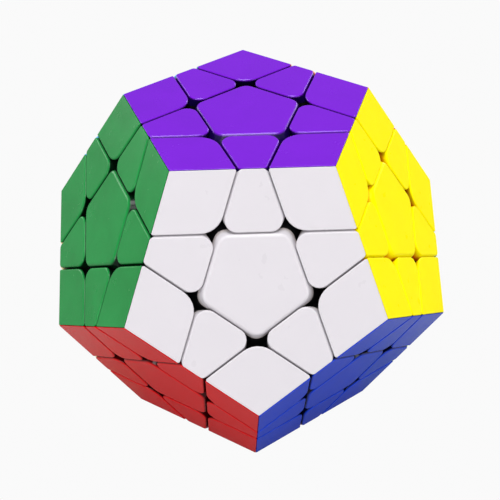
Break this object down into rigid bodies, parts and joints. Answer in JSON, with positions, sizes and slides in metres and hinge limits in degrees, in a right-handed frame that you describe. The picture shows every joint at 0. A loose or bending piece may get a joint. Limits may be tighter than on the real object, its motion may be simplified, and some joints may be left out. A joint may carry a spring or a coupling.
{
  "type": "dodecahedron twisty puzzle",
  "caption": "Stickerless twelve-sided twisty puzzle: coloured faces of centre, edge and corner pieces that turn on a sprung, screwed core.",
  "frame": {"origin": "middle of the round core, which is the centre of the dodecahedron", "axes": "+Z out through the purple face, -Y towards the white face, which leans back from upright"},
  "size_m": [0.0864, 0.0908, 0.0734],
  "materials": {
    "purple_plastic": "satin moulded ABS, coloured in the mass",
    "white_plastic": "satin moulded ABS, coloured in the mass",
    "yellow_plastic": "satin moulded ABS, coloured in the mass",
    "orange_plastic": "satin moulded ABS, coloured in the mass",
    "sky_plastic": "satin moulded ABS, coloured in the mass",
    "green_plastic": "satin moulded ABS, coloured in the mass",
    "blue_plastic": "satin moulded ABS, coloured in the mass",
    "lime_plastic": "satin moulded ABS, coloured in the mass",
    "grey_plastic": "satin moulded ABS, coloured in the mass",
    "cream_plastic": "satin moulded ABS, coloured in the mass",
    "red_plastic": "satin moulded ABS, coloured in the mass",
    "pink_plastic": "satin moulded ABS, coloured in the mass",
    "black_plastic": "matt moulded ABS",
    "steel": "bright zinc-plated"
  },
  "bodies": {
    "core": {"core": "black_plastic", "face_screws": "steel", "face_springs": "steel", "pink_centre": "pink_plastic"},
    "purple_centre": {"purple_centre": "purple_plastic"},
    "white_centre": {"white_centre": "white_plastic"},
    "yellow_centre": {"yellow_centre": "yellow_plastic"},
    "orange_centre": {"orange_centre": "orange_plastic"},
    "sky_centre": {"sky_centre": "sky_plastic"},
    "green_centre": {"green_centre": "green_plastic"},
    "blue_centre": {"blue_centre": "blue_plastic", "blue_pink_edge": "black_plastic"},
    "lime_centre": {"lime_centre": "lime_plastic", "lime_pink_edge": "black_plastic"},
    "grey_centre": {"grey_centre": "grey_plastic", "grey_pink_edge": "black_plastic"},
    "cream_centre": {"cream_centre": "cream_plastic", "cream_pink_edge": "black_plastic"},
    "red_centre": {"red_centre": "red_plastic", "red_pink_edge": "black_plastic"},
    "purple_white_edge": {"purple_white_edge": "black_plastic"},
    "purple_yellow_edge": {"purple_yellow_edge": "black_plastic"},
    "purple_orange_edge": {"purple_orange_edge": "black_plastic"},
    "purple_sky_edge": {"purple_sky_edge": "black_plastic"},
    "purple_green_edge": {"purple_green_edge": "black_plastic"},
    "white_yellow_edge": {"white_yellow_edge": "black_plastic"},
    "white_green_edge": {"white_green_edge": "black_plastic"},
    "white_blue_edge": {"white_blue_edge": "black_plastic"},
    "white_red_edge": {"white_red_edge": "black_plastic"},
    "yellow_orange_edge": {"yellow_orange_edge": "black_plastic"},
    "yellow_blue_edge": {"yellow_blue_edge": "black_plastic"},
    "yellow_lime_edge": {"yellow_lime_edge": "black_plastic"},
    "orange_sky_edge": {"orange_sky_edge": "black_plastic"},
    "orange_lime_edge": {"orange_lime_edge": "black_plastic"},
    "orange_grey_edge": {"orange_grey_edge": "black_plastic"},
    "sky_green_edge": {"sky_green_edge": "black_plastic"},
    "sky_grey_edge": {"sky_grey_edge": "black_plastic"},
    "sky_cream_edge": {"sky_cream_edge": "black_plastic"},
    "green_cream_edge": {"green_cream_edge": "black_plastic"},
    "green_red_edge": {"green_red_edge": "black_plastic"},
    "blue_lime_edge_and_pink_corner": {"blue_lime_edge_and_pink_corner": "black_plastic"},
    "blue_red_edge_and_pink_corner": {"blue_red_edge_and_pink_corner": "black_plastic"},
    "lime_grey_edge_and_pink_corner": {"lime_grey_edge_and_pink_corner": "black_plastic"},
    "grey_cream_edge_and_pink_corner": {"grey_cream_edge_and_pink_corner": "black_plastic"},
    "cream_red_edge_and_pink_corner": {"cream_red_edge_and_pink_corner": "black_plastic"},
    "purple_white_yellow_corner": {"purple_white_yellow_corner": "black_plastic"},
    "purple_white_green_corner": {"purple_white_green_corner": "black_plastic"},
    "purple_yellow_orange_corner": {"purple_yellow_orange_corner": "black_plastic"},
    "purple_orange_sky_corner": {"purple_orange_sky_corner": "black_plastic"},
    "purple_sky_green_corner": {"purple_sky_green_corner": "black_plastic"},
    "white_yellow_blue_corner": {"white_yellow_blue_corner": "black_plastic"},
    "white_green_red_corner": {"white_green_red_corner": "black_plastic"},
    "white_blue_red_corner": {"white_blue_red_corner": "black_plastic"},
    "yellow_orange_lime_corner": {"yellow_orange_lime_corner": "black_plastic"},
    "yellow_blue_lime_corner": {"yellow_blue_lime_corner": "black_plastic"},
    "orange_sky_grey_corner": {"orange_sky_grey_corner": "black_plastic"},
    "orange_lime_grey_corner": {"orange_lime_grey_corner": "black_plastic"},
    "sky_green_cream_corner": {"sky_green_cream_corner": "black_plastic"},
    "sky_grey_cream_corner": {"sky_grey_cream_corner": "black_plastic"},
    "green_cream_red_corner": {"green_cream_red_corner": "black_plastic"}
  },
  "joints": [
    {"name": "purple_face_turn", "type": "hinge", "parent": "core", "child": "purple_centre", "pos_m": [0, 0, 0], "axis": [0, 0, 1], "range_deg": [-144, 216]},
    {"name": "white_face_turn", "type": "hinge", "parent": "core", "child": "white_centre", "pos_m": [0, 0, 0], "axis": [0, -0.8944, 0.4472], "range_deg": [-144, 216]},
    {"name": "yellow_face_turn", "type": "hinge", "parent": "core", "child": "yellow_centre", "pos_m": [0, 0, 0], "axis": [0.8507, -0.2764, 0.4472], "range_deg": [-144, 216]},
    {"name": "orange_face_turn", "type": "hinge", "parent": "core", "child": "orange_centre", "pos_m": [0, 0, 0], "axis": [0.5257, 0.7236, 0.4472], "range_deg": [-144, 216]},
    {"name": "sky_face_turn", "type": "hinge", "parent": "core", "child": "sky_centre", "pos_m": [0, 0, 0], "axis": [-0.5257, 0.7236, 0.4472], "range_deg": [-144, 216]},
    {"name": "green_face_turn", "type": "hinge", "parent": "core", "child": "green_centre", "pos_m": [0, 0, 0], "axis": [-0.8507, -0.2764, 0.4472], "range_deg": [-144, 216]},
    {"name": "blue_face_turn", "type": "hinge", "parent": "core", "child": "blue_centre", "pos_m": [0, 0, 0], "axis": [0.5257, -0.7236, -0.4472], "range_deg": [-144, 216]},
    {"name": "lime_face_turn", "type": "hinge", "parent": "core", "child": "lime_centre", "pos_m": [0, 0, 0], "axis": [0.8507, 0.2764, -0.4472], "range_deg": [-144, 216]},
    {"name": "grey_face_turn", "type": "hinge", "parent": "core", "child": "grey_centre", "pos_m": [0, 0, 0], "axis": [0, 0.8944, -0.4472], "range_deg": [-144, 216]},
    {"name": "cream_face_turn", "type": "hinge", "parent": "core", "child": "cream_centre", "pos_m": [0, 0, 0], "axis": [-0.8507, 0.2764, -0.4472], "range_deg": [-144, 216]},
    {"name": "red_face_turn", "type": "hinge", "parent": "core", "child": "red_centre", "pos_m": [0, 0, 0], "axis": [-0.5257, -0.7236, -0.4472], "range_deg": [-144, 216]},
    {"name": "purple_white_edge_on_purple", "type": "hinge", "parent": "white_centre", "child": "purple_white_edge", "pos_m": [0, 0, 0], "axis": [0, 0, 1], "range_deg": [-144, 216]},
    {"name": "purple_yellow_edge_on_purple", "type": "hinge", "parent": "yellow_centre", "child": "purple_yellow_edge", "pos_m": [0, 0, 0], "axis": [0, 0, 1], "range_deg": [-144, 216]},
    {"name": "purple_orange_edge_on_purple", "type": "hinge", "parent": "orange_centre", "child": "purple_orange_edge", "pos_m": [0, 0, 0], "axis": [0, 0, 1], "range_deg": [-144, 216]},
    {"name": "purple_sky_edge_on_purple", "type": "hinge", "parent": "sky_centre", "child": "purple_sky_edge", "pos_m": [0, 0, 0], "axis": [0, 0, 1], "range_deg": [-144, 216]},
    {"name": "purple_green_edge_on_purple", "type": "hinge", "parent": "green_centre", "child": "purple_green_edge", "pos_m": [0, 0, 0], "axis": [0, 0, 1], "range_deg": [-144, 216]},
    {"name": "white_yellow_edge_on_white", "type": "hinge", "parent": "yellow_centre", "child": "white_yellow_edge", "pos_m": [0, 0, 0], "axis": [0, -0.8944, 0.4472], "range_deg": [-144, 216]},
    {"name": "white_green_edge_on_green", "type": "hinge", "parent": "white_centre", "child": "white_green_edge", "pos_m": [0, 0, 0], "axis": [-0.8507, -0.2764, 0.4472], "range_deg": [-144, 216]},
    {"name": "white_blue_edge_on_blue", "type": "hinge", "parent": "white_centre", "child": "white_blue_edge", "pos_m": [0, 0, 0], "axis": [0.5257, -0.7236, -0.4472], "range_deg": [-144, 216]},
    {"name": "white_red_edge_on_white", "type": "hinge", "parent": "red_centre", "child": "white_red_edge", "pos_m": [0, 0, 0], "axis": [0, -0.8944, 0.4472], "range_deg": [-144, 216]},
    {"name": "yellow_orange_edge_on_yellow", "type": "hinge", "parent": "orange_centre", "child": "yellow_orange_edge", "pos_m": [0, 0, 0], "axis": [0.8507, -0.2764, 0.4472], "range_deg": [-144, 216]},
    {"name": "yellow_blue_edge_on_yellow", "type": "hinge", "parent": "blue_centre", "child": "yellow_blue_edge", "pos_m": [0, 0, 0], "axis": [0.8507, -0.2764, 0.4472], "range_deg": [-144, 216]},
    {"name": "yellow_lime_edge_on_lime", "type": "hinge", "parent": "yellow_centre", "child": "yellow_lime_edge", "pos_m": [0, 0, 0], "axis": [0.8507, 0.2764, -0.4472], "range_deg": [-144, 216]},
    {"name": "orange_sky_edge_on_orange", "type": "hinge", "parent": "sky_centre", "child": "orange_sky_edge", "pos_m": [0, 0, 0], "axis": [0.5257, 0.7236, 0.4472], "range_deg": [-144, 216]},
    {"name": "orange_lime_edge_on_orange", "type": "hinge", "parent": "lime_centre", "child": "orange_lime_edge", "pos_m": [0, 0, 0], "axis": [0.5257, 0.7236, 0.4472], "range_deg": [-144, 216]},
    {"name": "orange_grey_edge_on_grey", "type": "hinge", "parent": "orange_centre", "child": "orange_grey_edge", "pos_m": [0, 0, 0], "axis": [0, 0.8944, -0.4472], "range_deg": [-144, 216]},
    {"name": "sky_green_edge_on_sky", "type": "hinge", "parent": "green_centre", "child": "sky_green_edge", "pos_m": [0, 0, 0], "axis": [-0.5257, 0.7236, 0.4472], "range_deg": [-144, 216]},
    {"name": "sky_grey_edge_on_sky", "type": "hinge", "parent": "grey_centre", "child": "sky_grey_edge", "pos_m": [0, 0, 0], "axis": [-0.5257, 0.7236, 0.4472], "range_deg": [-144, 216]},
    {"name": "sky_cream_edge_on_cream", "type": "hinge", "parent": "sky_centre", "child": "sky_cream_edge", "pos_m": [0, 0, 0], "axis": [-0.8507, 0.2764, -0.4472], "range_deg": [-144, 216]},
    {"name": "green_cream_edge_on_green", "type": "hinge", "parent": "cream_centre", "child": "green_cream_edge", "pos_m": [0, 0, 0], "axis": [-0.8507, -0.2764, 0.4472], "range_deg": [-144, 216]},
    {"name": "green_red_edge_on_red", "type": "hinge", "parent": "green_centre", "child": "green_red_edge", "pos_m": [0, 0, 0], "axis": [-0.5257, -0.7236, -0.4472], "range_deg": [-144, 216]},
    {"name": "blue_lime_edge_and_pink_corner_on_blue", "type": "hinge", "parent": "lime_centre", "child": "blue_lime_edge_and_pink_corner", "pos_m": [0, 0, 0], "axis": [0.5257, -0.7236, -0.4472], "range_deg": [-144, 216]},
    {"name": "blue_red_edge_and_pink_corner_on_red", "type": "hinge", "parent": "blue_centre", "child": "blue_red_edge_and_pink_corner", "pos_m": [0, 0, 0], "axis": [-0.5257, -0.7236, -0.4472], "range_deg": [-144, 216]},
    {"name": "lime_grey_edge_and_pink_corner_on_lime", "type": "hinge", "parent": "grey_centre", "child": "lime_grey_edge_and_pink_corner", "pos_m": [0, 0, 0], "axis": [0.8507, 0.2764, -0.4472], "range_deg": [-144, 216]},
    {"name": "grey_cream_edge_and_pink_corner_on_grey", "type": "hinge", "parent": "cream_centre", "child": "grey_cream_edge_and_pink_corner", "pos_m": [0, 0, 0], "axis": [0, 0.8944, -0.4472], "range_deg": [-144, 216]},
    {"name": "cream_red_edge_and_pink_corner_on_cream", "type": "hinge", "parent": "red_centre", "child": "cream_red_edge_and_pink_corner", "pos_m": [0, 0, 0], "axis": [-0.8507, 0.2764, -0.4472], "range_deg": [-144, 216]},
    {"name": "purple_white_yellow_corner_on_white", "type": "hinge", "parent": "purple_yellow_edge", "child": "purple_white_yellow_corner", "pos_m": [0, 0, 0], "axis": [0, -0.8944, 0.4472], "range_deg": [-144, 216]},
    {"name": "purple_white_green_corner_on_green", "type": "hinge", "parent": "purple_white_edge", "child": "purple_white_green_corner", "pos_m": [0, 0, 0], "axis": [-0.8507, -0.2764, 0.4472], "range_deg": [-144, 216]},
    {"name": "purple_yellow_orange_corner_on_yellow", "type": "hinge", "parent": "purple_orange_edge", "child": "purple_yellow_orange_corner", "pos_m": [0, 0, 0], "axis": [0.8507, -0.2764, 0.4472], "range_deg": [-144, 216]},
    {"name": "purple_orange_sky_corner_on_orange", "type": "hinge", "parent": "purple_sky_edge", "child": "purple_orange_sky_corner", "pos_m": [0, 0, 0], "axis": [0.5257, 0.7236, 0.4472], "range_deg": [-144, 216]},
    {"name": "purple_sky_green_corner_on_sky", "type": "hinge", "parent": "purple_green_edge", "child": "purple_sky_green_corner", "pos_m": [0, 0, 0], "axis": [-0.5257, 0.7236, 0.4472], "range_deg": [-144, 216]},
    {"name": "white_yellow_blue_corner_on_yellow", "type": "hinge", "parent": "white_blue_edge", "child": "white_yellow_blue_corner", "pos_m": [0, 0, 0], "axis": [0.8507, -0.2764, 0.4472], "range_deg": [-144, 216]},
    {"name": "white_green_red_corner_on_white", "type": "hinge", "parent": "green_red_edge", "child": "white_green_red_corner", "pos_m": [0, 0, 0], "axis": [0, -0.8944, 0.4472], "range_deg": [-144, 216]},
    {"name": "white_blue_red_corner_on_red", "type": "hinge", "parent": "white_blue_edge", "child": "white_blue_red_corner", "pos_m": [0, 0, 0], "axis": [-0.5257, -0.7236, -0.4472], "range_deg": [-144, 216]},
    {"name": "yellow_orange_lime_corner_on_orange", "type": "hinge", "parent": "yellow_lime_edge", "child": "yellow_orange_lime_corner", "pos_m": [0, 0, 0], "axis": [0.5257, 0.7236, 0.4472], "range_deg": [-144, 216]},
    {"name": "yellow_blue_lime_corner_on_lime", "type": "hinge", "parent": "yellow_blue_edge", "child": "yellow_blue_lime_corner", "pos_m": [0, 0, 0], "axis": [0.8507, 0.2764, -0.4472], "range_deg": [-144, 216]},
    {"name": "orange_sky_grey_corner_on_sky", "type": "hinge", "parent": "orange_grey_edge", "child": "orange_sky_grey_corner", "pos_m": [0, 0, 0], "axis": [-0.5257, 0.7236, 0.4472], "range_deg": [-144, 216]},
    {"name": "orange_lime_grey_corner_on_grey", "type": "hinge", "parent": "orange_lime_edge", "child": "orange_lime_grey_corner", "pos_m": [0, 0, 0], "axis": [0, 0.8944, -0.4472], "range_deg": [-144, 216]},
    {"name": "sky_green_cream_corner_on_green", "type": "hinge", "parent": "sky_cream_edge", "child": "sky_green_cream_corner", "pos_m": [0, 0, 0], "axis": [-0.8507, -0.2764, 0.4472], "range_deg": [-144, 216]},
    {"name": "sky_grey_cream_corner_on_cream", "type": "hinge", "parent": "sky_grey_edge", "child": "sky_grey_cream_corner", "pos_m": [0, 0, 0], "axis": [-0.8507, 0.2764, -0.4472], "range_deg": [-144, 216]},
    {"name": "green_cream_red_corner_on_red", "type": "hinge", "parent": "green_cream_edge", "child": "green_cream_red_corner", "pos_m": [0, 0, 0], "axis": [-0.5257, -0.7236, -0.4472], "range_deg": [-144, 216]}
  ],
  "couplings": [
    {"joint": "purple_white_edge_on_purple", "follows": "purple_face_turn", "ratio": 1},
    {"joint": "purple_yellow_edge_on_purple", "follows": "purple_face_turn", "ratio": 1},
    {"joint": "purple_orange_edge_on_purple", "follows": "purple_face_turn", "ratio": 1},
    {"joint": "purple_sky_edge_on_purple", "follows": "purple_face_turn", "ratio": 1},
    {"joint": "purple_green_edge_on_purple", "follows": "purple_face_turn", "ratio": 1},
    {"joint": "white_yellow_edge_on_white", "follows": "white_face_turn", "ratio": 1},
    {"joint": "white_green_edge_on_green", "follows": "green_face_turn", "ratio": 1},
    {"joint": "white_blue_edge_on_blue", "follows": "blue_face_turn", "ratio": 1},
    {"joint": "white_red_edge_on_white", "follows": "white_face_turn", "ratio": 1},
    {"joint": "yellow_orange_edge_on_yellow", "follows": "yellow_face_turn", "ratio": 1},
    {"joint": "yellow_blue_edge_on_yellow", "follows": "yellow_face_turn", "ratio": 1},
    {"joint": "yellow_lime_edge_on_lime", "follows": "lime_face_turn", "ratio": 1},
    {"joint": "orange_sky_edge_on_orange", "follows": "orange_face_turn", "ratio": 1},
    {"joint": "orange_lime_edge_on_orange", "follows": "orange_face_turn", "ratio": 1},
    {"joint": "orange_grey_edge_on_grey", "follows": "grey_face_turn", "ratio": 1},
    {"joint": "sky_green_edge_on_sky", "follows": "sky_face_turn", "ratio": 1},
    {"joint": "sky_grey_edge_on_sky", "follows": "sky_face_turn", "ratio": 1},
    {"joint": "sky_cream_edge_on_cream", "follows": "cream_face_turn", "ratio": 1},
    {"joint": "green_cream_edge_on_green", "follows": "green_face_turn", "ratio": 1},
    {"joint": "green_red_edge_on_red", "follows": "red_face_turn", "ratio": 1},
    {"joint": "blue_lime_edge_and_pink_corner_on_blue", "follows": "blue_face_turn", "ratio": 1},
    {"joint": "blue_red_edge_and_pink_corner_on_red", "follows": "red_face_turn", "ratio": 1},
    {"joint": "lime_grey_edge_and_pink_corner_on_lime", "follows": "lime_face_turn", "ratio": 1},
    {"joint": "grey_cream_edge_and_pink_corner_on_grey", "follows": "grey_face_turn", "ratio": 1},
    {"joint": "cream_red_edge_and_pink_corner_on_cream", "follows": "cream_face_turn", "ratio": 1},
    {"joint": "purple_white_yellow_corner_on_white", "follows": "white_face_turn", "ratio": 1},
    {"joint": "purple_white_green_corner_on_green", "follows": "green_face_turn", "ratio": 1},
    {"joint": "purple_yellow_orange_corner_on_yellow", "follows": "yellow_face_turn", "ratio": 1},
    {"joint": "purple_orange_sky_corner_on_orange", "follows": "orange_face_turn", "ratio": 1},
    {"joint": "purple_sky_green_corner_on_sky", "follows": "sky_face_turn", "ratio": 1},
    {"joint": "white_yellow_blue_corner_on_yellow", "follows": "yellow_face_turn", "ratio": 1},
    {"joint": "white_green_red_corner_on_white", "follows": "white_face_turn", "ratio": 1},
    {"joint": "white_blue_red_corner_on_red", "follows": "red_face_turn", "ratio": 1},
    {"joint": "yellow_orange_lime_corner_on_orange", "follows": "orange_face_turn", "ratio": 1},
    {"joint": "yellow_blue_lime_corner_on_lime", "follows": "lime_face_turn", "ratio": 1},
    {"joint": "orange_sky_grey_corner_on_sky", "follows": "sky_face_turn", "ratio": 1},
    {"joint": "orange_lime_grey_corner_on_grey", "follows": "grey_face_turn", "ratio": 1},
    {"joint": "sky_green_cream_corner_on_green", "follows": "green_face_turn", "ratio": 1},
    {"joint": "sky_grey_cream_corner_on_cream", "follows": "cream_face_turn", "ratio": 1},
    {"joint": "green_cream_red_corner_on_red", "follows": "red_face_turn", "ratio": 1}
  ]
}
